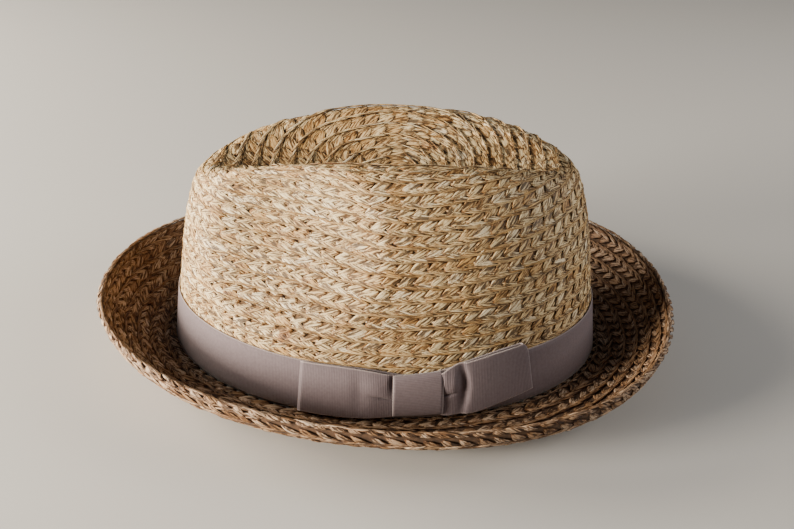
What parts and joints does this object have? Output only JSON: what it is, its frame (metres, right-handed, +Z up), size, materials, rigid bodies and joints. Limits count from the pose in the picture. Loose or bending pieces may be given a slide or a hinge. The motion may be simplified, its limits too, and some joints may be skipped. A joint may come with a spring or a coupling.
{
  "type": "straw trilby hat",
  "caption": "Trilby of sewn raffia braid with a dented, side-pinched crown, a short brim turned up all round, and a ribbon band with a flat side bow.",
  "frame": {"origin": "middle of the flat ring under the brim that the hat rests on, at the centre of the bounding box's bottom", "axes": "+X to the back of the hat, -X to its front, -Y to the wearer's left where the bow is, +Z up"},
  "size_m": [0.2816, 0.261, 0.1044],
  "materials": {
    "straw": "natural raffia braid, dry and matt with a faint sheen along the fibres",
    "ribbon": "mauve-grey grosgrain, matt with fine ribs across its width"
  },
  "bodies": {
    "root": {"crown": "straw", "brim": "straw", "ribbon_band": "ribbon", "bow_front_loop": "ribbon", "bow_back_loop": "ribbon", "bow_knot": "ribbon"}
  },
  "joints": []
}
